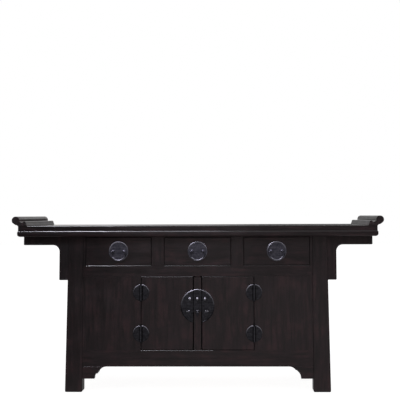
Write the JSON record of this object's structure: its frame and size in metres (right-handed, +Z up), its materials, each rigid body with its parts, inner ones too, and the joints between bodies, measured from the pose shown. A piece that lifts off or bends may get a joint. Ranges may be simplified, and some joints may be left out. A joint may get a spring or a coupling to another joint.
{
  "type": "altar cabinet",
  "caption": "Long altar cabinet with everted flanges on an overhanging top, drawers over a cupboard with paired doors and round metal fittings, splayed legs and stepped spandrels.",
  "frame": {"origin": "on the floor under the middle of the top, at the centre of the whole object's footprint", "axes": "+X to the viewer's right along the cabinet's length, -Y out of the front, +Z up"},
  "size_m": [1.84, 0.45, 0.866],
  "materials": {
    "lacquered_wood": "dark brown-black lacquer, satin, worn at the edges",
    "bare_wood": "planed and unfinished, darkened with age",
    "dark_brass": "blackened patina",
    "grey_brass": "greyed white brass, satin"
  },
  "bodies": {
    "carcass": {"top_panel": "lacquered_wood", "top_rail_front": "lacquered_wood", "top_rail_back": "lacquered_wood", "top_rail_ends": "lacquered_wood", "top_braces": "bare_wood", "flange_left": "lacquered_wood", "flange_right": "lacquered_wood", "edge_strips": "lacquered_wood", "leg_front_left": "lacquered_wood", "leg_front_right": "lacquered_wood", "leg_back_left": "lacquered_wood", "leg_back_right": "lacquered_wood", "header_rails": "lacquered_wood", "drawer_rail": "lacquered_wood", "lower_rail": "lacquered_wood", "back_rails": "lacquered_wood", "side_rails": "lacquered_wood", "front_posts": "lacquered_wood", "front_panel_left": "lacquered_wood", "front_panel_right": "lacquered_wood", "front_apron": "lacquered_wood", "apron_brackets": "lacquered_wood", "side_panels": "lacquered_wood", "back_panels": "lacquered_wood", "inner_boards": "bare_wood", "drawer_runners": "bare_wood", "drawer_guides": "bare_wood", "spandrels_front": "lacquered_wood", "spandrels_back": "lacquered_wood", "spandrel_end_boards": "lacquered_wood", "hinge_leaves_fixed": "dark_brass", "hinge_pins": "dark_brass"},
    "drawer_left": {"drawer_left_front": "lacquered_wood", "drawer_left_box": "bare_wood", "drawer_left_bottom": "bare_wood", "drawer_left_plate": "grey_brass"},
    "bail_left": {"drawer_left_bail": "grey_brass"},
    "drawer_middle": {"drawer_middle_front": "lacquered_wood", "drawer_middle_box": "bare_wood", "drawer_middle_bottom": "bare_wood", "drawer_middle_plate": "grey_brass"},
    "bail_middle": {"drawer_middle_bail": "grey_brass"},
    "drawer_right": {"drawer_right_front": "lacquered_wood", "drawer_right_box": "bare_wood", "drawer_right_bottom": "bare_wood", "drawer_right_plate": "grey_brass"},
    "bail_right": {"drawer_right_bail": "grey_brass"},
    "door_left": {"door_left_board": "lacquered_wood", "door_left_battens": "bare_wood", "door_left_leaves": "dark_brass", "door_left_lock_plate": "dark_brass"},
    "pull_left": {"door_left_pull": "dark_brass"},
    "door_right": {"door_right_board": "lacquered_wood", "door_right_battens": "bare_wood", "door_right_leaves": "dark_brass", "door_right_lock_plate": "dark_brass"},
    "pull_right": {"door_right_pull": "dark_brass"},
    "stile": {"stile_board": "lacquered_wood", "stile_lock_plate": "dark_brass"},
    "pull_middle": {"stile_pull": "dark_brass"}
  },
  "joints": [
    {"name": "drawer_left_slide", "type": "slide", "parent": "carcass", "child": "drawer_left", "axis": [0, -1, 0], "range_m": [0, 0.26]},
    {"name": "drawer_middle_slide", "type": "slide", "parent": "carcass", "child": "drawer_middle", "axis": [0, -1, 0], "range_m": [0, 0.26]},
    {"name": "drawer_right_slide", "type": "slide", "parent": "carcass", "child": "drawer_right", "axis": [0, -1, 0], "range_m": [0, 0.26]},
    {"name": "bail_left_swing", "type": "hinge", "parent": "drawer_left", "child": "bail_left", "pos_m": [-0.3935, -0.2002, 0.6915], "axis": [-1, 0, 0], "range_deg": [0, 160]},
    {"name": "bail_middle_swing", "type": "hinge", "parent": "drawer_middle", "child": "bail_middle", "pos_m": [0, -0.2002, 0.6915], "axis": [-1, 0, 0], "range_deg": [0, 160]},
    {"name": "bail_right_swing", "type": "hinge", "parent": "drawer_right", "child": "bail_right", "pos_m": [0.3935, -0.2002, 0.6915], "axis": [-1, 0, 0], "range_deg": [0, 160]},
    {"name": "door_left_hinge", "type": "hinge", "parent": "carcass", "child": "door_left", "pos_m": [-0.28, -0.1995, 0.3865], "axis": [0, 0, -1], "range_deg": [0, 165]},
    {"name": "door_right_hinge", "type": "hinge", "parent": "carcass", "child": "door_right", "pos_m": [0.28, -0.1995, 0.3865], "axis": [0, 0, 1], "range_deg": [0, 165]},
    {"name": "stile_lift", "type": "slide", "parent": "carcass", "child": "stile", "axis": [0, 0, 1], "range_m": [0, 0.005]},
    {"name": "pull_left_swing", "type": "hinge", "parent": "door_left", "child": "pull_left", "pos_m": [-0.0415, -0.2037, 0.399], "axis": [-1, 0, 0], "range_deg": [0, 45]},
    {"name": "pull_middle_swing", "type": "hinge", "parent": "stile", "child": "pull_middle", "pos_m": [0, -0.2037, 0.399], "axis": [-1, 0, 0], "range_deg": [0, 45]},
    {"name": "pull_right_swing", "type": "hinge", "parent": "door_right", "child": "pull_right", "pos_m": [0.0415, -0.2037, 0.399], "axis": [-1, 0, 0], "range_deg": [0, 45]}
  ]
}
